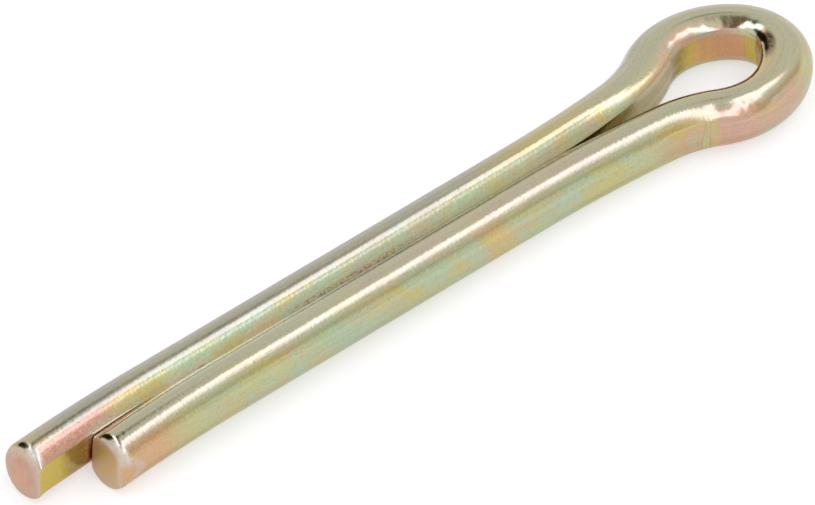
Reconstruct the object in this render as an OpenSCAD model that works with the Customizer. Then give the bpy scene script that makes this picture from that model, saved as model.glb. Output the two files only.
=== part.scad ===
// Split cotter pin, bent from one length of wire and closed for fitting.
// It lies along X with its eye at +X, and rests on its eye and its two tips.
// The origin is on the ground, under the middle of the pin's length and width.

/* [Wire] */
// Diameter of the round back of the wire
wire_d = 4.1; // [3:0.05:4.8]
// Depth of the flat that is rolled along the wire's inner side
flat_depth = 0.45; // [0.1:0.05:1]
// Radius of the two edges beside the flat
edge_r = 0.8; // [0.2:0.05:1.2]

/* [Legs] */
// Overall length, from the end of the eye to the tip of the long leg
long_l = 72.7; // [50:0.1:160]
// How far the short leg stops before the long one
leg_step = 4.9; // [0:0.1:12]
// Gap between the two flats
leg_gap = 0.14; // [0.06:0.02:1]

/* [Eye] */
// Width of the eye over its outside
eye_w = 13.2; // [11:0.1:18]
// Bend radius of the eye's two sides, at the middle of the wire
side_r = 6; // [4:0.1:6.8]
// Turn of the eye's round end, on each side of its middle
end_turn = 38.5; // [34:0.5:42]
// Steepest angle of the long leg's side of the eye
long_flank = 31; // [24:0.5:38]
// Steepest angle of the short leg's side of the eye
short_flank = 30.5; // [26:0.5:38]

/* [Lead curves] */
// Radius of the gentle curve that leads from each leg into its bend
lead_r = 120; // [60:1:200]
// Angle of that curve on the long leg
long_lead = 4.8; // [1:0.1:6]
// Angle of that curve on the short leg
short_lead = 6; // [1:0.1:6]

/* [Sheared tips] */
// Length over which the shear bent each tip down
set_l = 12; // [6:0.5:20]
// Slope that each tip reaches
set_turn = 5.5; // [1:0.5:8]
// Lean of each end face, with its top edge set back
face_lean = 8.5; // [1:0.5:15]
// Height and length of the rolled edge along the top of each end face
roll_h = 0.5; // [0.1:0.05:1]
// Length of the bevel on the back of the short leg
bevel_l = 1.9; // [0.5:0.05:4]
// Depth of that bevel at the end face
bevel_depth = 0.52; // [0.1:0.02:1.2]

/* [Die marks] */
// Depth to which the closing die pressed the short leg's bend
die_depth = 0.38; // [0.1:0.02:0.6]
// Turn along that bend from the die's edge to the start of the eye's side
die_turn = 9; // [4:1:14]
// Depth of the patch that it flattened beside that edge, on the eye's side
press_depth = 0.12; // [0.05:0.01:0.3]
// Turn from the start of the eye's side to the middle of that patch
press_turn = 3; // [1:1:8]

/* [Hidden] */
$fn = 96;
ZINC = [0.80, 0.76, 0.58];

function unit(a) = [cos(a), sin(a)];
function thousandths(v) = round(v * 1000) / 1000;

// The wire's section is a circle with a flat at x = -flat_x, whose edges are rounded.
wire_r = wire_d / 2;
flat_x = wire_r - flat_depth;
edge_x = flat_x - edge_r;
edge_y = sqrt(pow(wire_r - edge_r, 2) - pow(edge_x, 2));
touch = wire_r / (wire_r - edge_r);
leg_y = leg_gap / 2 + flat_x;

// The middle of the wire runs from the end of the eye, at the origin, round an end
// arc and two side arcs. The end arc's radius gives the eye its width.
half_w = eye_w / 2 - wire_r;
end_r = side_r + (half_w - side_r) / sin(end_turn);
end_c = [-end_r, 0];
side_c = end_c + (end_r - side_r) * unit(end_turn);

// The tips curve down on set_r. Each is swept trim past its end and cut off there, so
// that the lowest point of its end face is also its furthest.
set_r = set_l / sin(set_turn);
trim = 0.1;
overrun = trim * cos(set_turn) + wire_r * sin(set_turn);
short_l = long_l - leg_step;

// The whole pin tilts until its eye and its short tip both rest.
tip_span = short_l - wire_r;
tip_drop = set_r * (1 - cos(set_turn)) + wire_r * cos(set_turn) - trim * sin(set_turn);
rest_tilt = atan2(tip_drop, tip_span) - asin(wire_r / norm([tip_span, tip_drop]));

// The rolled edge is a little flatter than a quarter round.
roll_r = 1.3 * roll_h;
roll_c = (roll_h + sqrt(2 * pow(roll_r, 2) - pow(roll_h, 2))) / 2;

// Moves by whole thousandths and then by the rest, so that faces which meet are the same.
module at(p) {
    coarse = [for (v = p) thousandths(v)];
    translate(coarse) translate(p - coarse) children();
}

// The section's round back faces +X.
module wire_section() {
    intersection() {
        circle(r = wire_r);
        polygon([
            [0, 0], touch * [-edge_x, -edge_y], [-wire_d, -wire_d], [wire_d, -wire_d],
            [wire_d, wire_d], [-wire_d, wire_d], touch * [-edge_x, edge_y]
        ]);
    }
    polygon([[0, 0], [-edge_x, edge_y], [-flat_x, edge_y], [-flat_x, -edge_y], [-edge_x, -edge_y]]);
    for (s = [-1, 1])
        translate([-edge_x, s * edge_y]) circle(r = edge_r);
}

// A bend round centre, with the wire's back outside.
module arc(centre, r, from, sweep)
    at(centre)
        rotate_extrude(start = from, angle = sweep)
            at([r, 0]) wire_section();

// A bend round centre, with the wire's back inside.
module back_bend(centre, r, from, sweep)
    at(centre)
        rotate_extrude(start = from, angle = sweep)
            at([r, 0]) mirror([1, 0]) wire_section();

// The straight of a leg from end_x back towards its tip, then the curve to the tip.
// Children cut the tip, with its end face at x = 0 and the leg along +X.
module leg(length, end_x, y) {
    tip_x = wire_r - length - overrun;
    straight_l = thousandths(end_x - tip_x - set_l);
    at([end_x - straight_l, y])
        rotate([90, 0, 90])
            linear_extrude(straight_l) wire_section();
    at([end_x - straight_l, y, -set_r])
        difference() {
            rotate([90, -90, 0])
                rotate_extrude(angle = set_turn)
                    at([set_r, 0]) rotate(-90) wire_section();
            rotate([0, -set_turn, 0])
                translate([trim + wire_r * tan(face_lean), 0, set_r])
                    rotate([0, face_lean, 0]) {
                        translate([-2 * wire_d, -wire_d, -wire_d]) cube(2 * wire_d);
                        children();
                    }
        }
}

module rolled_edge()
    difference() {
        translate([-wire_r, -wire_d, wire_r - roll_h]) cube([wire_r + roll_h, 2 * wire_d, wire_r]);
        translate([roll_c, 0, wire_r - roll_c])
            rotate([90, 0, 0]) cylinder(r = roll_r, h = 3 * wire_d, center = true);
    }

module bevel()
    translate([0, wire_r - bevel_depth, 0])
        rotate([0, 0, atan(bevel_depth / bevel_l)])
            translate([-wire_r, 0, -wire_d]) cube([2 * bevel_l + wire_r, wire_r, 2 * wire_d]);

// Where the bend of one side ends and the side of the eye starts, and the bend's radius
// and middle, which take it from the slope of the lead to that of the flank.
function flank_p(flank) = side_c + side_r * unit(flank + 90);
function bend_r(lead, flank) =
    (flank_p(flank)[1] - leg_y - lead_r * (1 - cos(lead))) / (cos(lead) - cos(flank));
function bend_c(lead, flank) = flank_p(flank) + bend_r(lead, flank) * unit(flank + 90);

// One side of the pin: its leg, the lead curve, the bend, and the side of the eye.
module pin_side(length, lead, flank) {
    radius = bend_r(lead, flank);
    centre = bend_c(lead, flank);
    lead_c = centre + (lead_r - radius) * unit(lead + 90);
    leg(length, lead_c[0], leg_y) children();
    back_bend(lead_c, lead_r, -90, lead);
    back_bend(centre, radius, lead - 90, flank - lead);
    arc(side_c, side_r, end_turn, flank + 90 - end_turn);
}

// What the closing die pressed on the short leg's side: the outside of the bend, up to
// the die's edge, and a patch beyond that edge.
module die_marks() {
    radius = bend_r(short_lead, short_flank);
    die_r = radius - wire_r + die_depth;
    patch_l = side_r * (1 + sin(press_turn)) + radius * sin(die_turn) + die_depth;
    at(bend_c(short_lead, short_flank))
        rotate_extrude(start = -120, angle = 30 + short_flank - die_turn)
            translate([0, -wire_d]) square([die_r, 2 * wire_d]);
    at(side_c)
        rotate([0, 0, short_flank + 90 - press_turn])
            translate([side_r + wire_r - press_depth, -side_r, -wire_d])
                cube([wire_r, patch_l, 2 * wire_d]);
}

module cotter_pin() {
    color(ZINC)
        translate([long_l / 2 - wire_r, 0, wire_r])
            rotate([0, rest_tilt, 0]) {
                pin_side(long_l, long_lead, long_flank) rolled_edge();
                difference() {
                    mirror([0, 1, 0])
                        pin_side(short_l, short_lead, short_flank) {
                            rolled_edge();
                            bevel();
                        }
                    mirror([0, 1, 0]) die_marks();
                }
                arc(end_c, end_r, -end_turn, 2 * end_turn);
            }
}

cotter_pin();
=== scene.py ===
"""Looks of the split cotter pin: one bent wire, zinc plated and passivated yellow.

The wire is swept from its driving dimensions in millimetres, the same ones that the CAD part has,
and every detail on it is worked out in wire coordinates: along the wire, outward and up.
"""

from math import asin, atan2, cos, hypot, radians, sin, sqrt, tan

import bpy
import numpy as np
from mathutils import Matrix, Vector


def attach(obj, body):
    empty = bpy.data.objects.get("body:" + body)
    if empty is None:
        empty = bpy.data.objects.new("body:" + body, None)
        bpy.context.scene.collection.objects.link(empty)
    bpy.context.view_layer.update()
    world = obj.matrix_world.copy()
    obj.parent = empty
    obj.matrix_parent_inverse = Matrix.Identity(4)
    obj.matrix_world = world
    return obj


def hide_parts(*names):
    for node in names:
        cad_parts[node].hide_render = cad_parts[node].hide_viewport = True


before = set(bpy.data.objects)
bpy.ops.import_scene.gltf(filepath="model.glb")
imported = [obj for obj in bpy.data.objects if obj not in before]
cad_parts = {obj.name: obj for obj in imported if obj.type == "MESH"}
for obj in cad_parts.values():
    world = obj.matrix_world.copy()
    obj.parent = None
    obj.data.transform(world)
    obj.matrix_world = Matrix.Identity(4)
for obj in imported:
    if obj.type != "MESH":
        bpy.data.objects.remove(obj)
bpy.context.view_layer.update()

MM = 0.001

# The wire and the pin's shape, in mm and degrees, as in the CAD part.
WIRE_D = 4.1
FLAT_DEPTH = 0.45
LONG_L = 72.7
LEG_STEP = 4.9
LEG_GAP = 0.14
EYE_W = 13.2
SIDE_R = 6
END_TURN = 38.5
LONG_FLANK = 31
SHORT_FLANK = 30.5
LEAD_R = 120
LONG_LEAD = 4.8
SHORT_LEAD = 6
SET_L = 12
SET_TURN = 5.5
FACE_LEAN = 8.5
TRIM = 0.1
BEVEL_L = 1.9
BEVEL_DEPTH = 0.52
DIE_DEPTH = 0.38
DIE_TURN = 9
PRESS_DEPTH = 0.12
PRESS_TURN = 3

# Values that follow from them, under the CAD part's names.
WIRE_R = WIRE_D / 2
FLAT_X = WIRE_R - FLAT_DEPTH
LEG_Y = LEG_GAP / 2 + FLAT_X
SHORT_L = LONG_L - LEG_STEP
HALF_W = EYE_W / 2 - WIRE_R
END_R = SIDE_R + (HALF_W - SIDE_R) / sin(radians(END_TURN))
SET_R = SET_L / sin(radians(SET_TURN))
OVERRUN = TRIM * cos(radians(SET_TURN)) + WIRE_R * sin(radians(SET_TURN))
TIP_SPAN = SHORT_L - WIRE_R
TIP_DROP = (
    SET_R * (1 - cos(radians(SET_TURN)))
    + WIRE_R * cos(radians(SET_TURN))
    - TRIM * sin(radians(SET_TURN))
)
REST_TILT = atan2(TIP_DROP, TIP_SPAN) - asin(WIRE_R / hypot(TIP_SPAN, TIP_DROP))


def unit(angle):
    """Unit vector in plan at an angle in degrees, with no height."""
    return np.array([cos(radians(angle)), sin(radians(angle)), 0.0])


END_C = np.array([-END_R, 0.0, 0.0])
SIDE_C = END_C + (END_R - SIDE_R) * unit(END_TURN)


# ---------------------------------------------------------------- the wire's path


def straight(start, length):
    """A straight stretch along +X: position, outward and up at each distance."""

    def place(d):
        ones = np.ones_like(d)
        position = np.stack([start[0] + d, start[1] * ones, 0 * d], 1)
        return position, np.tile([0.0, 1.0, 0.0], (len(d), 1)), np.tile([0.0, 0.0, 1.0], (len(d), 1))

    return length, place


def tip_curve(end_x):
    """The stretch that the shear bent down, from the tip to the leg's straight."""

    def place(d):
        turn = radians(SET_TURN) - d / SET_R
        position = np.stack(
            [end_x - SET_R * np.sin(turn), LEG_Y + 0 * d, SET_R * (np.cos(turn) - 1)], 1
        )
        up = np.stack([-np.sin(turn), 0 * d, np.cos(turn)], 1)
        return position, np.tile([0.0, 1.0, 0.0], (len(d), 1)), up

    return SET_R * radians(SET_TURN), place


def bend(centre, radius, start, sweep, back):
    """A bend in plan. The wire's back faces away from the centre where back is 1, toward it where
    back is -1."""

    def place(d):
        angle = radians(start) + np.sign(sweep) * d / radius
        ray = np.stack([np.cos(angle), np.sin(angle), 0 * d], 1)
        return centre + radius * ray, back * ray, np.tile([0.0, 0.0, 1.0], (len(d), 1))

    return radius * radians(abs(sweep)), place


def bend_radius(lead, flank):
    """The bend's radius, which takes it from the slope of the lead to that of the flank."""
    flank_y = SIDE_C[1] + SIDE_R * sin(radians(flank + 90))
    lead_y = LEG_Y + LEAD_R * (1 - cos(radians(lead)))
    return (flank_y - lead_y) / (cos(radians(lead)) - cos(radians(flank)))


def side_stretches(length, lead, flank):
    """The stretches of one side, from its tip to the middle of the eye's end."""
    bend_r = bend_radius(lead, flank)
    bend_c = SIDE_C + (SIDE_R + bend_r) * unit(flank + 90)
    lead_c = bend_c + (LEAD_R - bend_r) * unit(lead + 90)
    set_x = WIRE_R - length - OVERRUN + SET_L
    return [
        tip_curve(set_x),
        straight((set_x, LEG_Y), lead_c[0] - set_x),
        bend(lead_c, LEAD_R, -90, lead, -1),
        bend(bend_c, bend_r, lead - 90, flank - lead, -1),
        bend(SIDE_C, SIDE_R, flank + 90, -(flank + 90 - END_TURN), 1),
        bend(END_C, END_R, END_TURN, -END_TURN, 1),
    ]


LONG_SIDE = side_stretches(LONG_L, LONG_LEAD, LONG_FLANK)
SHORT_SIDE = side_stretches(SHORT_L, SHORT_LEAD, SHORT_FLANK)
LONG_RUN = sum(length for length, place in LONG_SIDE)
SHORT_RUN = sum(length for length, place in SHORT_SIDE)
WIRE_RUN = LONG_RUN + SHORT_RUN

# How far from the short tip its bend starts and ends, and the edge of the closing die was.
BEND_START = sum(length for length, place in SHORT_SIDE[:3])
BEND_END = BEND_START + SHORT_SIDE[3][0]
BEND_R = bend_radius(SHORT_LEAD, SHORT_FLANK)
DIE_EDGE = BEND_END - BEND_R * radians(DIE_TURN)


def along_side(stretches, d):
    """Position, outward and up at distances d from the tip of one side."""
    position, outward, up = (np.zeros((len(d), 3)) for _ in range(3))
    begin = 0.0
    for i, (length, place) in enumerate(stretches):
        last = i == len(stretches) - 1
        inside = (d >= begin) if last else (d >= begin) & (d < begin + length)
        if i == 0:
            inside = inside | (d < begin)
        if inside.any():
            position[inside], outward[inside], up[inside] = place(d[inside] - begin)
        begin += length
    return position, outward, up


def wire_frame(s):
    """Position, outward and up at distances s along the wire from the long leg's tip."""
    on_long = s <= LONG_RUN
    result = [np.zeros((len(s), 3)) for _ in range(3)]
    sides = ((on_long, LONG_SIDE, s, 1), (~on_long, SHORT_SIDE, WIRE_RUN - s, -1))
    for chosen, stretches, d, mirror in sides:
        if chosen.any():
            for out, values in zip(result, along_side(stretches, d[chosen])):
                values[:, 1] *= mirror
                out[chosen] = values
    return result


def pin_to_row(points):
    """From the pin's own frame, in mm, to the row frame, in metres."""
    c, s = cos(REST_TILT), sin(REST_TILT)
    tilt = np.array([[c, 0, s], [0, 1, 0], [-s, 0, c]])
    return (points @ tilt.T + [LONG_L / 2 - WIRE_R, 0, WIRE_R]) * MM


# ---------------------------------------------------------------- the wire's section and its marks

# Which way the surface faces at places round one half of the section, both in degrees from outward.
# The long leg's flat has a shoulder along its upper edge, which the tight bend of the eye spread.
# The eye is round on its short side and underneath, and the other edges are plain.
LEG_FACING = [
    (90, 90), (94.5, 101), (97, 106), (105, 113.5), (108, 120), (110, 118), (114, 117.5), (117, 121),
    (122, 123.5), (128, 126), (134, 129), (160, 137),
]
EYE_FACING = [(90, 90), (100, 95), (110, 100), (118, 105), (128, 117), (136, 134), (160, 175)]
ROUND_FACING = [(90, 90), (130, 130), (148, 176), (160, 180)]
SHORT_FACING = [(90, 90), (118, 118), (128, 126), (134, 129), (160, 137)]

# How softly each section turns into its flat, in mm: the legs' upper corner is nearly sharp. The
# flat stands out a little, so that the closed legs all but meet.
CORNER_SOFT = 0.005
ROLLED_SOFT = 0.4
ROUND_SOFT = 0.2
LOWER_SOFT = 0.35
FLAT_OUT = FLAT_X + 0.06

# Angles round the section, in degrees from outward, where the shoulder ends and about where the
# corner of the flat is, and the steps between vertices.
SHOULDER = 118
CORNER = 142
BACK_STEP = 4.5
SHOULDER_STEP = 1.3


def radius_round(phi, facing):
    """The section's radius at angles phi, in degrees from outward, from which way it faces: for
    each radian, the radius falls by its part that is the tangent of how far it faces past phi."""
    fine = np.linspace(90, 160, 281)
    slope = np.tan(np.radians(np.interp(fine, *zip(*facing)) - fine))
    fall = np.concatenate([[0], np.cumsum((slope[1:] + slope[:-1]) / 2 * np.radians(fine[1] - fine[0]))])
    return WIRE_R * np.exp(-np.interp(np.abs(phi), fine, fall))


def soft_min(a, b, width):
    """The lower of a and b, with the corner between them rounded over width."""
    h = np.clip(0.5 + 0.5 * (b - a) / width, 0, 1)
    return b + (a - b) * h - width * h * (1 - h)


def section_angles():
    """Where round the section the vertices lie, upper and lower half: closest at the shoulders."""
    upper = list(np.arange(0, 90, BACK_STEP))
    upper += list(np.arange(90, SHOULDER, SHOULDER_STEP))
    upper += list(np.linspace(SHOULDER, CORNER, 11))
    upper += list(np.linspace(CORNER, 180, 9)[1:-1])
    lower = list(np.arange(BACK_STEP, 90, BACK_STEP))
    lower += list(np.linspace(90, CORNER, 16))
    lower += list(np.linspace(CORNER, 180, 6)[1:-1])
    return np.array(upper), np.array(lower)


def half_outline(phi, facing, soft):
    """One half of the section at angles phi. The vertex at CORNER is moved to where the curve meets
    the flat, and its neighbours with it, so that the corner is a clean edge. Where the curve never
    meets the flat, it stays."""
    fine = np.linspace(SHOULDER, 160, 800)
    outside = radius_round(fine, facing) * -np.cos(np.radians(fine)) > FLAT_OUT
    corner = fine[np.argmax(outside)] if outside.any() else CORNER
    phi = np.interp(phi, (0, SHOULDER, CORNER, 180), (0, SHOULDER, corner, 180))
    to_flat = FLAT_OUT / np.clip(-np.cos(np.radians(phi)), 0.2, 1)
    radius = soft_min(radius_round(phi, facing), to_flat, soft)
    return radius * np.cos(np.radians(phi)), radius * np.sin(np.radians(phi))


def section(above, below, soft=CORNER_SOFT):
    """One closed outline, outward and up, from the middle of the flat round by the bottom."""
    upper, lower = section_angles()
    a_up, b_up = half_outline(upper, above, soft)
    a_low, b_low = half_outline(lower, below, LOWER_SOFT)
    outward = np.concatenate([[-FLAT_OUT], a_low[::-1], a_up])
    height = np.concatenate([[0], -b_low[::-1], b_up])
    return np.stack([outward, height], 1)


def ease(x, low, high):
    """0 up to low, 1 from high, smooth between."""
    t = np.clip((x - low) / (high - low), 0, 1)
    return t * t * (3 - 2 * t)


def span(x, rise_from, rise_to, fall_from, fall_to):
    """1 from rise_to to fall_from, 0 outside the others, smooth between."""
    return ease(x, rise_from, rise_to) * (1 - ease(x, fall_from, fall_to))


def bump(x, width):
    """1 at x = 0, falling smoothly to 0 at x = width on both sides."""
    t = np.clip(1 - np.abs(x) / width, 0, 1)
    return t * t * (3 - 2 * t)


LEG_SECTION = section(LEG_FACING, SHORT_FACING)
ROLLED_SECTION = section(LEG_FACING, SHORT_FACING, ROLLED_SOFT)
SPREAD_SECTION = section(EYE_FACING, ROUND_FACING)
ROUND_SECTION = section(ROUND_FACING, ROUND_FACING, ROUND_SOFT)
SHORT_SECTION = section(SHORT_FACING, SHORT_FACING)

# Where along the wire, in mm from the long tip, one section turns into the next.
ROLLED_SPAN = (3.5, 5.5, 8, 13)
TO_SPREAD = (52, 61)
TO_ROUND = (76, 82)
TO_SHORT = (90, 97)


def section_at(s):
    """The section at a distance along the wire: shouldered in the long leg, its flat's edge rolled
    beside the short tip, spread on the long side of the eye, rounded on the short side and plain
    in the short leg."""
    spread = span(s, *TO_SPREAD, *TO_ROUND)
    past = ease(s, *TO_ROUND)
    plain = ease(s, *TO_SHORT)
    rolled = span(s, *ROLLED_SPAN)
    legs = LEG_SECTION * (1 - rolled - spread - past) + ROLLED_SECTION * rolled + SPREAD_SECTION * spread
    return legs + (ROUND_SECTION * (1 - plain) + SHORT_SECTION * plain) * past


def waves(s, phi, count, amplitude, shortest, longest, seed):
    """A sum of seeded sine waves along and round the wire, for the unevenness of drawn wire."""
    rng = np.random.default_rng(seed)
    total = np.zeros_like(s)
    for _ in range(count):
        length = shortest * (longest / shortest) ** rng.random()
        turns = rng.integers(-2, 3)
        total += np.sin(s * 2 * np.pi / length + turns * phi + rng.random() * 2 * np.pi)
    return total * amplitude / sqrt(count)


# The closing die's mark, in mm: the slope of the wall at its edge, how far it reaches before the
# bend and past it, and how soft its corners are.
DIE_WALL_SLOPE = 1.3
DIE_BEFORE = 4
DIE_PAST = 5
DIE_SOFT = 0.04


def die_marks(s, a):
    """What the closing die pressed on the short leg's side: the outside of the bend up to the
    die's edge, and a flat patch beyond it."""
    d = WIRE_RUN - s
    before = np.clip(BEND_START - d, 0, DIE_BEFORE)
    run_out = before**2 / 2 * (1 / (BEND_R - WIRE_R) - 1 / (LEAD_R - WIRE_R))
    wall = np.clip(d - DIE_EDGE, 0, 2) * DIE_WALL_SLOPE
    pressed = WIRE_R - DIE_DEPTH + run_out + wall

    turn = np.clip((d - BEND_END) / SIDE_R - radians(PRESS_TURN), -0.5, 1.2)
    on_side = (SIDE_R + WIRE_R - PRESS_DEPTH) / np.cos(turn) - SIDE_R
    plane = (BEND_R + SIDE_R) * cos(radians(PRESS_TURN)) - (SIDE_R + WIRE_R - PRESS_DEPTH)
    into_bend = np.clip((BEND_END - d) / BEND_R, 0, 0.6) + radians(PRESS_TURN)
    patch = np.where(d > BEND_END, on_side, BEND_R - plane / np.cos(into_bend))
    patch = np.where(d > DIE_EDGE, patch, WIRE_D)

    near = (d > BEND_START - DIE_BEFORE) & (d < BEND_END + DIE_PAST)
    return soft_min(a, np.where(near, np.minimum(pressed, patch), WIRE_D), DIE_SOFT)


# The furrow that the die left above its patch: its angle from outward and half its width, both in
# degrees, and its depth in mm. Crinkles lie round it.
FURROW_PHI = 64
FURROW_HALF = 15
FURROW_DEPTH = 0.05


def die_crinkles(s, phi):
    """How far the skin lies below or above its place beside the die's patch."""
    d = WIRE_RUN - s
    turn = np.degrees(phi)
    furrow = bump(turn - FURROW_PHI, FURROW_HALF) * span(d - DIE_EDGE, 0, 1.2, 3.2, 4.4)
    beside = bump(turn - 50, 28) * bump(d - DIE_EDGE - 4.2, 2.6)
    return -FURROW_DEPTH * furrow + waves(s, phi, 12, 0.012, 0.5, 1.3, 5) * beside


def bend_wrinkles(s, phi):
    """The wrinkles that the tight bend left along the spread edge of the eye."""
    place = bump(np.degrees(phi) - 120, 26) * span(s, 61, 65, 76, 79)
    return waves(s, phi, 14, 0.01, 0.7, 2.4, 23) * place


# How far along the wire and about how far outward the shear spread the long tip's flat side, and
# how soft the short tip's bevel is.
FLARE_L = 1.5
FLARE = 0.2
BEVEL_SOFT = 0.12


def tip_flare(s, a, b):
    """The long tip's flat side, which the shear spread at its end face, most at the bottom."""
    share = np.clip(1 - s / FLARE_L, 0, 1) ** 2
    low = (1 - np.clip(b / WIRE_R, -1, 1)) * 0.75
    return a + FLARE * share * np.clip(a / FLAT_X, -1, 0) * low


def bevel_plane(d_short):
    """How far outward the bevel on the back of the short leg's tip lies."""
    return WIRE_R - BEVEL_DEPTH + (d_short - TRIM) * BEVEL_DEPTH / BEVEL_L


def bevel(s, a):
    """The bevel on the back of the short leg's tip."""
    return soft_min(a, bevel_plane(WIRE_RUN - s), BEVEL_SOFT)


def face_offset(b):
    """How far an end face lies from the swept end, at a height b: it leans back by FACE_LEAN."""
    return TRIM + (WIRE_R + b) * tan(radians(FACE_LEAN))


# How far in from the outline the rounding of an end face's edge starts: along the top, elsewhere
# and at the back.
ROLL = 0.8
RIM = 0.28
BACK_RIM = 0.42


def rim_radius(phi):
    """The rounding of an end face's edge at an angle from outward."""
    top = np.clip(np.sin(phi) * 1.15 - 0.1, 0, 1)
    back = np.clip(np.cos(phi), 0, 1)
    return RIM + (ROLL - RIM) * top**2 + (BACK_RIM - RIM) * back**3


# How many rings a rim and an end face have, and over which length, in which steps, the rings
# beyond them turn into regular ones.
RIM_STEPS = 9
FACE_STEPS = 12
TIP_BLEND = 1.6
TIP_BLEND_STEP = 0.09


def tip_rings(outline, short):
    """Rings of (distance from the swept end, outward, up) from the middle of an end face, and
    where the regular rings start."""
    a0, b0 = outline[:, 0], outline[:, 1]
    if short:
        a0 = soft_min(a0, bevel_plane(TRIM) + 0 * a0, BEVEL_SOFT)
    phi = np.arctan2(b0, a0)
    reach = np.hypot(a0, b0)
    rim = rim_radius(phi)
    rings = []
    for k in range(1, FACE_STEPS):
        share = sqrt(k / FACE_STEPS)
        scale = share * (reach - rim) / reach
        rings.append((face_offset(b0 * scale), a0 * scale, b0 * scale))
    for k in range(RIM_STEPS + 1):
        t = k / RIM_STEPS * np.pi / 2
        scale = (reach - rim * (1 - sin(t))) / reach
        d = face_offset(b0 * scale) + rim * (1 - cos(t))
        rings.append((d, a0 * scale, b0 * scale))
    last = rings[-1][0]
    steps = int(TIP_BLEND / TIP_BLEND_STEP)
    for k in range(1, steps):
        t = k / steps
        rings.append((last * (1 - t) + (last.max() + TIP_BLEND) * t, outline[:, 0], outline[:, 1]))
    return rings, last.max() + TIP_BLEND


def station_step(s):
    """Distance between rings: short at the tips and at the die's marks, longer elsewhere."""
    tip = min(s, WIRE_RUN - s)
    edge = abs(WIRE_RUN - s - DIE_EDGE)
    if tip < 4:
        return 0.12
    if edge < 0.6:
        return 0.04
    if edge < 4:
        return 0.1
    return 0.26


def wire_rings():
    """Vertices in wire coordinates (s, outward, up), ring by ring."""
    start, long_d = tip_rings(LEG_SECTION, False)
    end, short_d = tip_rings(SHORT_SECTION, True)
    s = long_d
    stations = []
    while s < WIRE_RUN - short_d:
        stations.append(s)
        s += station_step(s)
    rings = [np.stack([d, a, b], 1) for d, a, b in start]
    ones = np.ones(len(LEG_SECTION))
    for s in stations:
        a, b = section_at(s).T
        rings.append(np.stack([s * ones, a, b], 1))
    rings += [np.stack([WIRE_RUN - d, a, b], 1) for d, a, b in reversed(end)]
    return np.array(rings)


# Edges that turn by more than this, in degrees, are shaded as sharp.
CREASE = 30

# The unevenness of the drawn wire, and how far the whole skin and the eye's end are drawn in, in mm,
# so that nothing passes the CAD part's box.
UNEVEN = 0.0028
DRAW_IN = 0.01
EYE_DRAW_IN = 0.02


def build_wire():
    """The pin as one closed mesh in metres, with its wire coordinates kept as attributes."""
    rings = wire_rings()
    ring_n, point_n = rings.shape[:2]
    middles = np.array([[face_offset(0), 0, 0], [WIRE_RUN - face_offset(0), 0, 0]])
    flat = np.vstack([rings.reshape(-1, 3), middles])
    s, a, b = flat.T.copy()
    phi = np.arctan2(b, a)
    a = die_marks(s, a)
    a = bevel(s, a)
    a = tip_flare(s, a, b)

    # 1 on the wire's skin, 0 in the middle of the end faces.
    skin = np.clip((np.hypot(a, b) - 0.6) / 0.8, 0, 1)
    swell = (waves(s, phi, 24, UNEVEN, 3.5, 14, 11) - DRAW_IN) * skin
    swell += die_crinkles(s, phi) + bend_wrinkles(s, phi) - EYE_DRAW_IN * bump(s - LONG_RUN, 5) * skin
    a, b = a + swell * np.cos(phi), b + swell * np.sin(phi)

    position, outward, up = wire_frame(s)
    points = pin_to_row(position + a[:, None] * outward + b[:, None] * up)

    faces = []
    for i in range(ring_n - 1):
        here, beyond = i * point_n, (i + 1) * point_n
        for j in range(point_n):
            k = (j + 1) % point_n
            faces.append((here + j, here + k, beyond + k, beyond + j))
    first, last = len(points) - 2, len(points) - 1
    for j in range(point_n):
        k = (j + 1) % point_n
        faces.append((first, k, j))
        faces.append((last, (ring_n - 1) * point_n + j, (ring_n - 1) * point_n + k))

    mesh = bpy.data.meshes.new("cotter_pin_wire")
    mesh.from_pydata(points.tolist(), [], faces)
    mesh.validate()
    mesh.shade_smooth()
    mesh.set_sharp_from_angle(angle=radians(CREASE))
    place = mesh.attributes.new("wire_place", "FLOAT_VECTOR", "POINT")
    place.data.foreach_set("vector", np.stack([s, a, b], 1).astype(np.float32).ravel())
    film = mesh.attributes.new("film", "FLOAT_COLOR", "POINT")
    film.data.foreach_set("color", film_colours(s, a, b).astype(np.float32).ravel())
    for name, share in (("sheared", sheared(s, a, b)), ("scuffed", scuffed(s, a, b))):
        kept = mesh.attributes.new(name, "FLOAT", "POINT")
        kept.data.foreach_set("value", share.astype(np.float32))
    piece = bpy.data.objects.new("cotter_pin_wire", mesh)
    bpy.context.scene.collection.objects.link(piece)
    return piece


# ---------------------------------------------------------------- the passivation film


def screen_colour(red, green, blue):
    """A linear colour from the 0 to 255 values that a screen shows."""
    channels = []
    for v in (red, green, blue):
        v = v / 255
        channels.append(v / 12.92 if v <= 0.04045 else ((v + 0.055) / 1.055) ** 2.4)
    return (*channels, 1.0)


# The colours that the film takes as its depth changes.
KHAKI = (192, 190, 167)
GREY = (190, 191, 180)
TAN = (208, 188, 150)
OCHRE = (206, 186, 132)
YELLOW = (206, 208, 154)
GREEN = (190, 208, 172)
MINT = (188, 210, 184)
PINK = (224, 180, 162)
ORANGE = (226, 184, 142)
SALMON = (216, 158, 126)
OLIVE = (186, 162, 84)
MOSS = (164, 146, 84)
RUST = (176, 118, 66)
BRONZE = (164, 146, 50)
GOLD = (218, 196, 84)
AMBER = (234, 184, 118)
COPPER = (226, 168, 124)
ROSE = (214, 164, 150)
CORAL = (236, 176, 150)
# A painted highlight on the end faces' rounded edges.
LAVENDER_GLINT = (224, 200, 190)
DUSK = (174, 174, 161)
FLINT = (172, 171, 154)
UMBER = (146, 134, 108)
UMBER_GREEN = (148, 140, 94)
STRAW = (216, 200, 124)
HAY = (182, 172, 122)
SAND = (226, 196, 136)
PEACH = (216, 192, 160)
PALE = (226, 216, 204)
BLUSH = (202, 188, 170)
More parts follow.
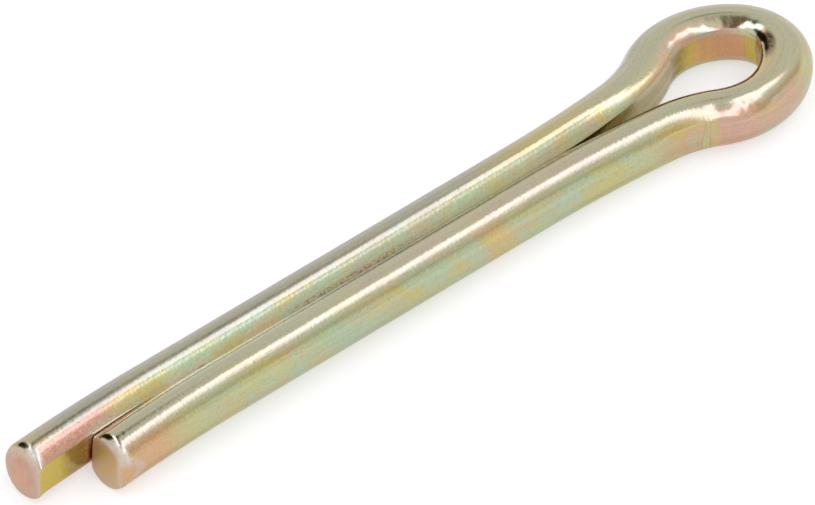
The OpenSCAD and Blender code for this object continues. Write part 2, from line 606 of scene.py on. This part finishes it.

# Where it is worn, torn or dirty, and painted shade, painted dark reflections and a painted glint.
# Scuffs and chips, and painted shade in the die's crinkles.
SCUFF_AND_SHADE = (128, 86, 72)
# Painted shade and dark reflections, and the drawn lines along the wire.
SHADE_AND_DRAWN_LINE = (84, 80, 60)
# A painted dark reflection, at the eye's end.
PAINTED_DARK_REFLECTION = (66, 54, 40)
DIRT = (128, 120, 98)
# Bare metal on the torn burr, painted as a glint too.
BARE_AND_GLINT = (240, 236, 230)

# The film along the wire, in mm from each tip: on the shoulder beside the other leg, on the flat,
# on the side that faces out, and along the top.
LONG_INNER = [
    (0, ROSE), (7.5, ROSE), (9.5, TAN), (12, YELLOW), (15, GREEN), (19, MINT), (26, MINT), (31, GREY),
    (35, KHAKI), (39, GREEN), (46, GREEN), (50, KHAKI), (57, KHAKI), (60, TAN), (64, PINK),
    (70, PINK), (72, PALE), (75, PALE), (76.5, TAN), (80, KHAKI),
]
# On the long leg's flat, MOSS and RUST from 3.4 to 5.4 mm are painted shadow where the short tip meets
# it.
LONG_FLAT = [
    (0, GOLD), (2.4, GOLD), (3.4, OLIVE), (4.4, MOSS), (5.4, RUST), (7, OCHRE), (20, OCHRE), (28, OLIVE),
    (50, MOSS), (56, HAY), (61, HAY), (62.6, OLIVE), (63.5, BRONZE), (64.6, BRONZE), (66, GOLD),
    (67.4, AMBER), (69.5, COPPER), (71.4, COPPER), (73, GOLD), (75, GOLD), (77, MOSS),
]
# On the short leg's shoulder the UMBER and UMBER_GREEN stops are a painted dark reflection near the eye.
SHORT_INNER = [
    (0, TAN), (4, GREY), (18, GREY), (28, UMBER), (46, UMBER), (52, UMBER_GREEN), (58, HAY), (66, TAN),
    (70, TAN),
]
SHORT_FLAT = [(0, RUST), (12, OLIVE), (50, MOSS), (56, OCHRE), (66, OCHRE), (69, OLIVE)]
SHORT_OUTER = [
    (0, ORANGE), (4, ORANGE), (7, YELLOW), (15, YELLOW), (20, GREEN), (31, GREEN),
    (36, SAND), (42, GREEN), (46, YELLOW), (51, YELLOW), (54, ORANGE), (58, PINK), (62, PINK),
    (65, TAN), (68, KHAKI),
]
# On the long leg the outer side and top are darker, FLINT and DUSK, as painted shade.
LONG_OUTER = [(0, TAN), (8, FLINT), (44, FLINT), (52, KHAKI), (74, KHAKI)]
LONG_TOP = [(0, TAN), (5, DUSK), (42, DUSK), (50, OCHRE), (58, KHAKI), (72, KHAKI)]
SHORT_TOP = [(0, KHAKI), (20, KHAKI), (30, BLUSH), (44, BLUSH), (52, KHAKI), (72, KHAKI)]
FILM_SIDES = [
    (LONG_OUTER, SHORT_OUTER),
    (LONG_INNER, SHORT_INNER),
    (LONG_TOP, SHORT_TOP),
    (LONG_FLAT, SHORT_FLAT),
]

# How much brighter than its stops the shoulder beside the other leg is, as painted light.
INNER_PAINTED_LIGHT = 1.1


def turn_round(a, b):
    """The angle round the section, in degrees from outward."""
    return np.degrees(np.arctan2(b, a))


def behind_face(s, b):
    """How far a point lies behind the nearer end's face."""
    return np.minimum(s, WIRE_RUN - s) - face_offset(b)


def colours_along(d, stops):
    """Linear colours at distances d, between given stops."""
    places = [place for place, colour in stops]
    table = np.array([screen_colour(*colour) for place, colour in stops])
    return np.stack([np.interp(d, places, table[:, k]) for k in range(4)], 1)


def tint(colours, share, colour):
    """The colours moved toward one colour by a share from 0 to 1 at each point."""
    share = np.clip(share, 0, 1)[:, None]
    return colours * (1 - share) + np.array(screen_colour(*colour)) * share


# How far along the wire from a tip the colours of its end may reach.
TIP_REACH = 3


def tip_colours(colours, s, a, b):
    """The end faces: rose on the long leg, sandy on the short one, each with a coral patch and a pale
    rim of painted highlight. The short tip's bevel has an orange patch and a pale border of painted
    highlight."""
    d_short = WIRE_RUN - s
    into = behind_face(s, b)
    face = 1 - ease(into, 0.02, 0.1)
    on_long = face * (s < TIP_REACH)
    on_short = face * (d_short < TIP_REACH)
    colours = tint(colours, on_long, ROSE)
    colours = tint(colours, on_long * bump(np.hypot(a - 0.1, b + 0.7), 1.7), CORAL)
    colours = tint(colours, on_short, SAND)
    colours = tint(colours, on_short * bump(np.hypot(a - 0.9, b + 0.2), 1.0) * 0.5, CORAL)
    # Painted highlight along the rounded rims of the end faces.
    rim = bump(into - 0.1, 0.26) * ease(np.hypot(a, b), 1.0, 1.4)
    colours = tint(colours, rim * 0.8, LAVENDER_GLINT)
    cut = (d_short < BEVEL_L) * (1 - face) * ease(a, 1.3, 1.45)
    colours = tint(colours, cut * bump(np.hypot(d_short - 1.0, b + 0.4), 1.2), ORANGE)
    # Painted highlight along the border of the bevel.
    border = bump(a - bevel_plane(d_short), 0.2) * bump(np.hypot(a, b) - WIRE_R, 0.2)
    colours = tint(colours, border * (d_short < TIP_REACH) * (1 - face) * 0.9, LAVENDER_GLINT)
    # The torn burr: bare metal, with a painted glint.
    return tint(colours, burr(s, a, b) * 1.3, BARE_AND_GLINT)


# The wedge before the closing die's edge: its length low on the back, in mm, the angle from
# outward where it and the die's mark end, and the angle over which it tapers to that.
WEDGE_L = 0.42
WEDGE_TOP = 36
WEDGE_TAPER = 66


def die_colours(colours, s, a, b):
    """The closing die's mark: a yellow wedge up to its edge between lines of painted shade, a straw
    strip that is partly painted light on the step's edge, then a pink patch with painted shade in the
    crinkles above it."""
    past = WIRE_RUN - s - DIE_EDGE
    turn = turn_round(a, b)
    on_mark = 1 - ease(np.abs(turn), WEDGE_TOP, WEDGE_TOP + 10)
    wedge_l = WEDGE_L * np.clip((WEDGE_TOP - turn) / WEDGE_TAPER, 0, 1)
    wedge = span(past, -wedge_l - 0.05, -wedge_l + 0.05, 0.15, 0.3)
    colours = tint(colours, wedge * on_mark, YELLOW)
    # Painted shade along the walls of the die's step.
    colours = tint(colours, bump(past + wedge_l, 0.09) * on_mark * 0.7, MOSS)
    colours = tint(colours, bump(past - 0.3, 0.1) * on_mark * 0.5, MOSS)
    # Straw film, lighter as painted light on the step's proud edge.
    colours = tint(colours, bump(past - 0.75, 0.6) * on_mark * 0.8, STRAW)
    patch = span(past, 0.7, 1.3, 3.4, 5)
    colours = tint(colours, patch * bump(turn - 15, 55) * 0.8, PINK)
    # Painted shade in the crinkles beside the patch.
    specks = waves(s, np.radians(turn) * 5, 16, 1.0, 0.4, 1.2, 47)
    crinkle_shade = bump(turn - 52, 13) * bump(past - 3.6, 1.5)
    return tint(colours, crinkle_shade * ease(specks, 0.5, 1.2) * 0.8, SCUFF_AND_SHADE)


def scuffed(s, a, b):
    """How scuffed the film is: where the legs rubbed, beside the contact line, and less on the
    shoulder at the long tip."""
    turn = turn_round(a, b)
    rubbed = span(s, 23, 27, 34, 38) * bump(turn - 140, 8)
    return rubbed + 0.45 * span(s, 1.2, 2.5, 6, 9) * bump(turn - 124, 20)


def contact_colours(colours, s, a, b):
    """Painted shade in the line where the legs meet, with painted light over it near the tips, a nick
    beside it and the red of the rubbed stretch."""
    turn = turn_round(a, b)
    closed = (s > LONG_RUN) * (1 - ease(WIRE_RUN - s, 50, 55))
    dark = 0.9 * ease(WIRE_RUN - s, 12, 30)
    # Painted shade in the gap between the legs.
    colours = tint(colours, closed * ease(turn, 112, 120) * dark, SHADE_AND_DRAWN_LINE)
    # Painted light over the gap near the tips.
    lit_gap = span(s - LEG_STEP, 0, 1, 8, 24)
    lit_gap = lit_gap + (1 - ease(WIRE_RUN - s, 8, 24))
    colours = tint(colours, lit_gap * ease(turn, 128, 138) * 0.8, PALE)
    colours = tint(colours, scuffed(s, a, b) * 0.5, SALMON)
    return tint(colours, bump(s - 16, 0.7) * bump(turn - 144, 5), SCUFF_AND_SHADE)


def line_colours(colours, s, turn, on_flat):
    """Painted shade in dark lines along the wire, low on its outer side, high on the long leg's and on
    top near the long tip, and the stripes that the bend left across the flat."""
    # Painted shade: a dark line low on the outer side, and one high on the long leg's back.
    colours = tint(colours, bump(turn + 19, 16) * 0.3, MOSS)
    colours = tint(colours, bump(turn - 54, 18) * (s < LONG_RUN) * 0.25, SHADE_AND_DRAWN_LINE)
    stripes = np.clip(waves(s, 0 * s, 20, 1.0, 0.5, 2.2, 31), 0, 1) * on_flat * 0.2
    colours = tint(colours, stripes * ease(s, 40, 50), RUST)
    # Painted dark reflection along the top near the long tip.
    return tint(colours, bump(turn - 90, 6) * (1 - ease(s, 20, 45)) * 0.6, SHADE_AND_DRAWN_LINE)


def eye_colours(colours, s, turn):
    """Painted dark reflections: a line along the top of the eye's long side and a patch at its end."""
    # Painted dark reflection along the top of the eye's long side.
    colours = tint(colours, bump(s - 69, 4.5) * bump(turn - 98, 5) * 0.6, SHADE_AND_DRAWN_LINE)
    # Painted dark reflection at the eye's end.
    return tint(colours, bump(s - 76, 2.8) * bump(turn - 120, 18) * 1.5, PAINTED_DARK_REFLECTION)


def cloudy(s, on_flat, on_inner, on_top):
    """How much the clouds of colour show: less on top and where the wire was worked, none on the
    flat."""
    d_short = WIRE_RUN - s
    worked = bump(d_short - DIE_EDGE - 2, 4) + 2 - ease(s, 5, 11) - ease(d_short, 4, 14)
    worked = worked + (s > LONG_RUN) * on_inner + (s < LONG_RUN) * (1 - on_inner) * 0.5
    return (1 - 0.75 * on_top) * (1 - on_flat) * (1 - np.clip(worked, 0, 1))


def film_colours(s, a, b):
    """The film's colour at each point in wire coordinates. Its last part is how much the clouds
    show there."""
    turn = turn_round(a, b)
    on_flat = ease(np.abs(turn), 140, 148)
    on_inner = ease(np.abs(turn), 98, 112)
    on_top = ease(turn, 42, 66) * (1 - on_inner)
    sides = []
    for long_stops, short_stops in FILM_SIDES:
        on_long = colours_along(s, long_stops)
        on_short = colours_along(WIRE_RUN - s, short_stops)
        sides.append(np.where((s < LONG_RUN)[:, None], on_long, on_short))
    colours, inner, top, flat = sides
    # Painted light on the shoulder beside the other leg.
    inner = inner * INNER_PAINTED_LIGHT
    for side, share in ((inner, on_inner), (top, on_top), (flat, on_flat)):
        colours = colours * (1 - share[:, None]) + side * share[:, None]
    colours = line_colours(colours, s, turn, on_flat)
    colours = contact_colours(colours, s, a, b)
    colours = eye_colours(colours, s, turn)
    colours = die_colours(colours, s, a, b)
    colours = tip_colours(colours, s, a, b)
    colours[:, 3] = cloudy(s, on_flat, on_inner, on_top)
    return colours


def burr(s, a, b):
    """1 on the torn rolled edge of the end faces' upper sides, and 0 elsewhere."""
    middle = np.where(s < LONG_RUN, 112, 48)
    around = bump(turn_round(a, b) - middle, 48)
    return bump(behind_face(s, b) - 0.48, 0.5) * around * ease(np.hypot(a, b), 1.2, 1.5)


def sheared(s, a, b):
    """1 on the end faces, which the shear left rough, and 0 elsewhere."""
    return np.clip(1 - ease(behind_face(s, b), 0.05, 0.2) + burr(s, a, b) * 0.8, 0, 1)


# ---------------------------------------------------------------- shaders


class Tree:
    """Short calls for one node tree."""

    def __init__(self, tree):
        self.tree = tree
        tree.nodes.clear()

    def node(self, kind, inputs=(), **settings):
        """A new node, with some of its inputs and its settings."""
        made = self.tree.nodes.new(kind)
        for name, value in settings.items():
            setattr(made, name, value)
        for name, value in dict(inputs).items():
            self.give(made.inputs[name], value)
        return made

    def give(self, socket, value):
        """Links a socket or a node's first output to an input, or sets the input's value."""
        if isinstance(value, bpy.types.NodeSocket):
            self.tree.links.new(value, socket)
        elif isinstance(value, bpy.types.Node):
            self.tree.links.new(value.outputs[0], socket)
        else:
            socket.default_value = value

    def math(self, operation, a, b=0.0, c=0.0):
        """The result of one math node."""
        made = self.node("ShaderNodeMath", operation=operation)
        for socket, value in zip(made.inputs, (a, b, c)):
            self.give(socket, value)
        return made.outputs[0]

    def smooth(self, value, low, high, to_low=0.0, to_high=1.0):
        """to_low up to low, to_high from high, smooth between."""
        made = self.node("ShaderNodeMapRange", interpolation_type="SMOOTHSTEP")
        names = ("Value", "From Min", "From Max", "To Min", "To Max")
        for name, given in zip(names, (value, low, high, to_low, to_high)):
            self.give(made.inputs[name], given)
        return made.outputs[0]

    def window(self, value, low, high, softs):
        """1 between low and high, falling to 0 over the given widths at its low and high ends."""
        rise = self.smooth(value, low - softs[0] / 2, low + softs[0] / 2)
        fall = self.smooth(value, high - softs[1] / 2, high + softs[1] / 2, 1.0, 0.0)
        return self.math("MULTIPLY", rise, fall)

    def mix(self, share, a, b):
        """Colour a turned into colour b by a share. A mix node keeps its colours' sockets after
        those of its other kinds of data."""
        made = self.node("ShaderNodeMix", data_type="RGBA")
        for index, value in ((0, share), (6, a), (7, b)):
            self.give(made.inputs[index], value)
        return made.outputs[2]

    def noise(self, vector, detail, roughness):
        """Noise, from 0 to 1, that changes over about 1 unit of the vector."""
        made = self.node(
            "ShaderNodeTexNoise",
            {"Vector": vector, "Scale": 1.0, "Detail": detail, "Roughness": roughness},
        )
        return made.outputs[0]

    def stretched(self, vector, along, across):
        """The vector with its first part, along the wire, and its others, across it, scaled."""
        made = self.node("ShaderNodeVectorMath", operation="MULTIPLY")
        self.give(made.inputs[0], vector)
        made.inputs[1].default_value = (along, across, across)
        return made.outputs[0]


# Clouds of colour over the film: how far they slant, in degrees, how fine they are along and
# across the wire, which part of the noise each takes and its colour, and the noise values between
# which a cloud rises to its full share.
DRIFT_SLANT = 20
CLOUD_FROM = 0.44
CLOUD_TO = 0.68
CLOUD_SHARE = 0.78
DRIFTS = [
    ((0.14, 0.5), 3.0, PEACH),
    ((0.16, 0.5), 7.0, GREEN),
    ((0.26, 0.6), 15.0, STRAW),
    ((0.24, 0.6), 23.0, MINT),
]

# Fine flecks in the film: how fine they are along and across the wire, their noise's detail and
# roughness, the noise values between which they rise to their full share, and their colour.
SPECKS = ((3.0, 4.0), (4.0, 0.65), (0.4, 0.75), 0.5, TAN)
DIRT_SPECKS = ((3.5, 6.0), (5.0, 0.7), (0.42, 0.8), 0.24, DIRT)
DRAWN_LINES = ((0.07, 5.0), (3.0, 0.6), (0.45, 0.75), 0.08, SHADE_AND_DRAWN_LINE)
TORN_MOTTLE = ((1.4, 1.4), (4.0, 0.7), (0.4, 0.65), 0.6, PEACH)
RUBBED_CHIPS = ((4.0, 8.0), (3.0, 0.6), (0.47, 0.62), 0.8, SCUFF_AND_SHADE)

# The fine relief: how fine its ticks and pits are along and across the wire, its depth in metres,
# how much of it the drawn lines are, and where along the wire from the eye's end it rises from
# EYE_GRAIN of its depth to all of it.
TICKS = (5.0, 2.0)
PITS = (3.2, 3.0)
RELIEF_DEPTH = 0.000023
RELIEF_STRENGTH = 0.8
DRAWN_RELIEF = 0.12
EYE_GRAIN = 0.35
GRAIN_FROM = 8.0
GRAIN_TO = 18.0

# The film's roughness at its smoothest and its roughest, and what a torn end face adds.
ROUGH_LOW = 0.09
ROUGH_HIGH = 0.15
ROUGH_TORN = 0.3


def flecked(t, film, place, kind, where=1.0):
    """The film with one kind of flecks over it, only where asked, and the noise they come from."""
    fineness, (detail, roughness), (low, high), share, colour = kind
    noise = t.noise(t.stretched(place, *fineness), detail, roughness)
    shown = t.math("MULTIPLY", t.smooth(noise, low, high, 0.0, share), where)
    return t.mix(shown, film, screen_colour(*colour)), noise


def film_material():
    """Yellow passivated zinc: a thin coloured film on satin drawn wire."""
    material = bpy.data.materials.new("yellow_zinc")
    material.use_nodes = True
    t = Tree(material.node_tree)
    place = t.node("ShaderNodeAttribute", attribute_name="wire_place").outputs["Vector"]
    film = t.node("ShaderNodeAttribute", attribute_name="film").outputs["Color"]

    drift = t.node("ShaderNodeAttribute", attribute_name="film").outputs["Alpha"]
    slanted = t.node("ShaderNodeVectorRotate", {"Vector": place}, rotation_type="Y_AXIS")
    slanted.inputs["Angle"].default_value = radians(DRIFT_SLANT)
    for scale, offset, colour in DRIFTS:
        moved = t.node("ShaderNodeVectorMath", {"Vector": t.stretched(slanted, *scale)}, operation="ADD")
        moved.inputs[1].default_value = (offset, 0.0, offset)
        cloud = t.smooth(t.noise(moved, 3.0, 0.55), CLOUD_FROM, CLOUD_TO, 0.0, CLOUD_SHARE)
        film = t.mix(t.math("MULTIPLY", cloud, drift), film, screen_colour(*colour))
    torn = t.node("ShaderNodeAttribute", attribute_name="sheared").outputs["Fac"]
    rubbed = t.node("ShaderNodeAttribute", attribute_name="scuffed").outputs["Fac"]
    film, _ = flecked(t, film, place, SPECKS)
    film, _ = flecked(t, film, place, DIRT_SPECKS)
    film, drawn = flecked(t, film, place, DRAWN_LINES)
    film, _ = flecked(t, film, place, TORN_MOTTLE, torn)
    film, _ = flecked(t, film, place, RUBBED_CHIPS, rubbed)

    ticks = t.noise(t.stretched(place, *TICKS), 2.0, 0.5)
    pits = t.noise(t.stretched(place, *PITS), 3.0, 0.6)
    along = t.node("ShaderNodeSeparateXYZ", {"Vector": place}).outputs[0]
    from_eye = t.math("ABSOLUTE", t.math("SUBTRACT", along, LONG_RUN))
    grain = t.smooth(from_eye, GRAIN_FROM, GRAIN_TO, EYE_GRAIN, 1.0)
    height = t.math("MULTIPLY", t.math("ADD", ticks, pits), t.math("MULTIPLY", grain, 0.5))
    height = t.math("MULTIPLY_ADD", drawn, DRAWN_RELIEF, height)
    relief = t.node(
        "ShaderNodeBump", {"Strength": RELIEF_STRENGTH, "Distance": RELIEF_DEPTH, "Height": height}
    )
    satin = t.smooth(pits, 0.25, 0.75, ROUGH_LOW, ROUGH_HIGH)
    rough = t.math("MULTIPLY_ADD", torn, ROUGH_TORN, satin)
    shader = t.node(
        "ShaderNodeBsdfPrincipled",
        {"Base Color": film, "Metallic": 1.0, "Roughness": rough, "Normal": relief},
    )
    output = t.node("ShaderNodeOutputMaterial")
    t.tree.links.new(shader.outputs[0], output.inputs["Surface"])
    return material


# ---------------------------------------------------------------- studio

# The camera, in radians and metres: its turn about Z, its tilt down, its roll and its distance from
# the point it aims at, which is AIM_HEIGHT over the origin, then AIM_RIGHT and AIM_UP in its
# picture. The lens and the sensor are in mm.
CAMERA_TURN = 0.71759
CAMERA_TILT = 0.70025
CAMERA_ROLL = 0.03043
CAMERA_DISTANCE = 1.20675
CAMERA_LENS = 748.2
AIM_RIGHT = -0.00088775
AIM_UP = 0.00014463
AIM_HEIGHT = 0.002
SENSOR = 36


def camera_axes():
    """Right, up and forward of the level camera."""
    right = Vector((cos(CAMERA_TURN), -sin(CAMERA_TURN), 0))
    forward = Vector(
        (
            sin(CAMERA_TURN) * cos(CAMERA_TILT),
            cos(CAMERA_TURN) * cos(CAMERA_TILT),
            -sin(CAMERA_TILT),
        )
    )
    return right, right.cross(forward), forward


def make_camera():
    """The photo's camera, rolled a little."""
    right, up, forward = camera_axes()
    c, s = cos(CAMERA_ROLL), sin(CAMERA_ROLL)
    right, up = c * right - s * up, s * right + c * up
    aim = Vector((0, 0, AIM_HEIGHT)) + AIM_RIGHT * right + AIM_UP * up
    camera = bpy.data.objects.new("camera", bpy.data.cameras.new("camera"))
    camera.data.sensor_width = SENSOR
    camera.data.lens = CAMERA_LENS
    camera.data.clip_end = 10
    camera.data.clip_start = 0.01
    turn = Matrix((right, up, -forward)).transposed().to_4x4()
    camera.matrix_world = Matrix.Translation(aim - forward * CAMERA_DISTANCE) @ turn
    bpy.context.scene.collection.objects.link(camera)
    bpy.context.scene.camera = camera


# The studio round the pin. A softbox or a dark zone has its ranges on a unit ray, to the camera's
# right and away from the camera, and the softness of its sides. The walls turn from their low to
# their high colour as the ray rises to WALL_TOP, and the boxes and zones show above OVERHEAD.
WALL_TOP = 0.35
OVERHEAD = (0.22, 0.36)
WALL_LOW = screen_colour(250, 250, 250)
WALL_HIGH = screen_colour(236, 236, 232)
SOFTBOX_COLOUR = (1.0, 0.97, 1.15, 1.0)
SOFTBOX_LEVEL = 2.05
SOFTBOXES = [
    ((-0.38, -0.16), (-0.3, 0.6), (0.05, 0.05)),
    ((0.262, 0.50), (-0.7, 0.53), (0.025, 0.2)),
]
BOX_END_SOFTS = (0.08, 0.08)
ZONE_END_SOFTS = (0.16, 0.16)
DARK_ZONES = [
    ((-0.86, -0.42), (0.16, 0.84), (0.12, 0.12), screen_colour(40, 32, 20)),
    ((-0.16, 0.06), (-0.5, 0.6), (0.08, 0.16), screen_colour(112, 96, 76)),
    ((0.7, 0.835), (-0.6, 0.75), (0.2, 0.04), screen_colour(212, 202, 188)),
]


def make_world():
    """A light tent with two softboxes overhead and dark gaps beside and between them. The camera
    itself sees white."""
    world = bpy.data.worlds.new("studio")
    bpy.context.scene.world = world
    world.use_nodes = True
    t = Tree(world.node_tree)
    ray = t.node("ShaderNodeTexCoord").outputs["Generated"]
    turned = t.node("ShaderNodeVectorRotate", {"Vector": ray}, rotation_type="Z_AXIS")
    turned.inputs["Angle"].default_value = CAMERA_TURN
    axes = t.node("ShaderNodeSeparateXYZ", {"Vector": turned})
    u, v, w = axes.outputs

    sky = t.mix(t.smooth(w, 0.0, WALL_TOP), WALL_LOW, WALL_HIGH)
    high = t.smooth(w, *OVERHEAD)
    for (u_low, u_high), (v_low, v_high), softs, colour in DARK_ZONES:
        across = t.window(u, u_low, u_high, softs)
        zone = t.math("MULTIPLY", across, t.window(v, v_low, v_high, ZONE_END_SOFTS))
        sky = t.mix(t.math("MULTIPLY", zone, high), sky, colour)
    boxes = 0.0
    for (u_low, u_high), (v_low, v_high), softs in SOFTBOXES:
        across = t.window(u, u_low, u_high, softs)
        box = t.math("MULTIPLY", across, t.window(v, v_low, v_high, BOX_END_SOFTS))
        boxes = t.math("MAXIMUM", boxes, box)
    boxes = t.math("MULTIPLY", boxes, high)
    sky = t.mix(boxes, sky, SOFTBOX_COLOUR)
    strength = t.math("MULTIPLY_ADD", boxes, SOFTBOX_LEVEL - 1, 1.0)
    light = t.node("ShaderNodeBackground", {"Color": sky, "Strength": strength})
    white = t.node("ShaderNodeBackground", {"Color": (1, 1, 1, 1), "Strength": 1.0})
    paths = t.node("ShaderNodeLightPath")
    both = t.node("ShaderNodeMixShader", {"Fac": paths.outputs["Is Camera Ray"]})
    t.tree.links.new(light.outputs[0], both.inputs[1])
    t.tree.links.new(white.outputs[0], both.inputs[2])
    output = t.node("ShaderNodeOutputWorld")
    t.tree.links.new(both.outputs[0], output.inputs["Surface"])


# The floor: half its side in metres, its colour, and the light that it adds for the camera, which
# brings it to the white of the backdrop, and for the pin's reflections.
FLOOR_HALF = 0.6
FLOOR_COLOUR = (0.6, 0.6, 0.6, 1)
CAMERA_LIFT = 0.55
GLOSSY_LIFT = 0.35


def make_floor():
    """The pale floor under the pin."""
    corners = [(-FLOOR_HALF, -FLOOR_HALF, 0), (FLOOR_HALF, -FLOOR_HALF, 0)]
    corners += [(FLOOR_HALF, FLOOR_HALF, 0), (-FLOOR_HALF, FLOOR_HALF, 0)]
    mesh = bpy.data.meshes.new("floor")
    mesh.from_pydata(corners, [], [(0, 1, 2, 3)])
    floor = bpy.data.objects.new("floor", mesh)
    bpy.context.scene.collection.objects.link(floor)
    material = bpy.data.materials.new("floor")
    material.use_nodes = True
    t = Tree(material.node_tree)
    matt = t.node("ShaderNodeBsdfDiffuse", {"Color": FLOOR_COLOUR})
    paths = t.node("ShaderNodeLightPath")
    lift = t.math("MULTIPLY", paths.outputs["Is Camera Ray"], CAMERA_LIFT)
    lift = t.math("MULTIPLY_ADD", paths.outputs["Is Glossy Ray"], GLOSSY_LIFT, lift)
    glow = t.node("ShaderNodeEmission", {"Color": (1, 1, 1, 1), "Strength": lift})
    both = t.node("ShaderNodeAddShader")
    t.tree.links.new(matt.outputs[0], both.inputs[0])
    t.tree.links.new(glow.outputs[0], both.inputs[1])
    output = t.node("ShaderNodeOutputMaterial")
    t.tree.links.new(both.outputs[0], output.inputs["Surface"])
    mesh.materials.append(material)


# ---------------------------------------------------------------- assembly

wire = build_wire()
wire.data.materials.append(film_material())
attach(wire, "root")
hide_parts("cotter_pin")

make_world()
make_floor()
make_camera()
bpy.context.scene.view_settings.view_transform = "Standard"
